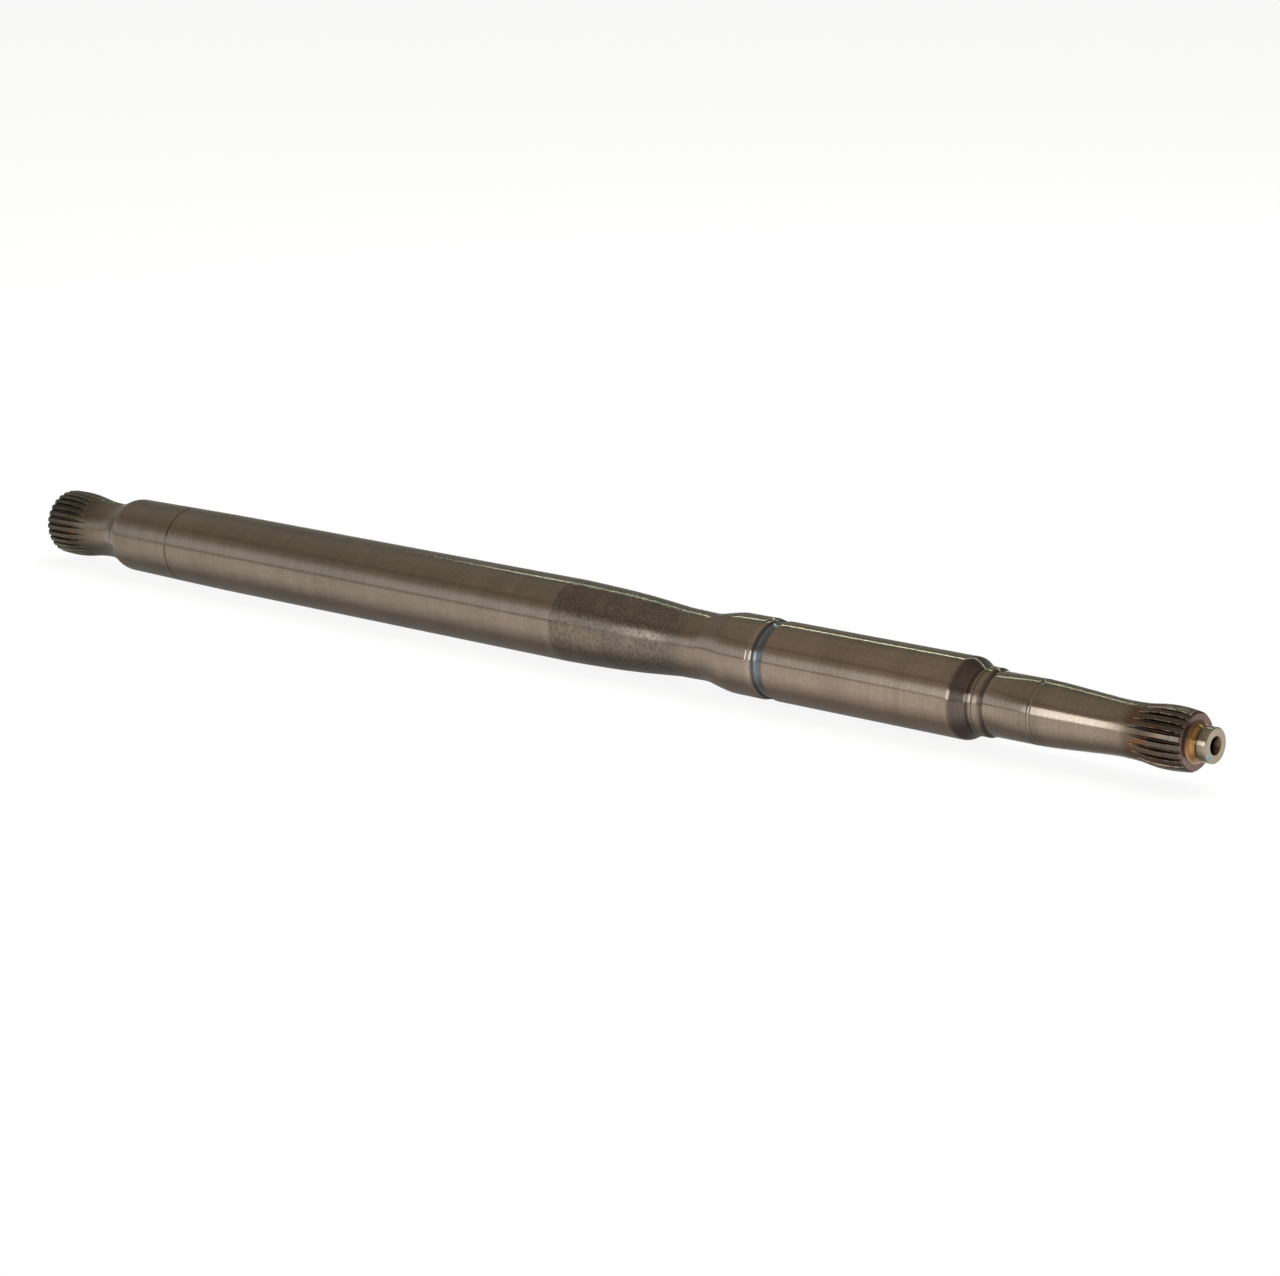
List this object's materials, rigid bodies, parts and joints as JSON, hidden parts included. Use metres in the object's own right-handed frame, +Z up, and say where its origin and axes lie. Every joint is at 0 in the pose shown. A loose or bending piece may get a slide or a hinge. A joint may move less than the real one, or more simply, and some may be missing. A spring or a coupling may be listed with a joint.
{
  "type": "splined shaft",
  "caption": "Long turned steel drive shaft with a crowned male spline at each end, a ground bearing journal, a clip groove and a push-on stub nose; carries torque from a coupling to a rotor.",
  "frame": {"origin": "on the shaft's axis, at the middle of the ground bearing journal", "axes": "+X along the axis towards the stub nose, +Z up with the shaft lying level, +Y across"},
  "size_m": [0.6427, 0.0344, 0.0344],
  "materials": {
    "ground_steel": "turned and ground, warm grey with heat tint near the splines"
  },
  "bodies": {
    "root": {"shaft": "ground_steel"}
  },
  "joints": []
}
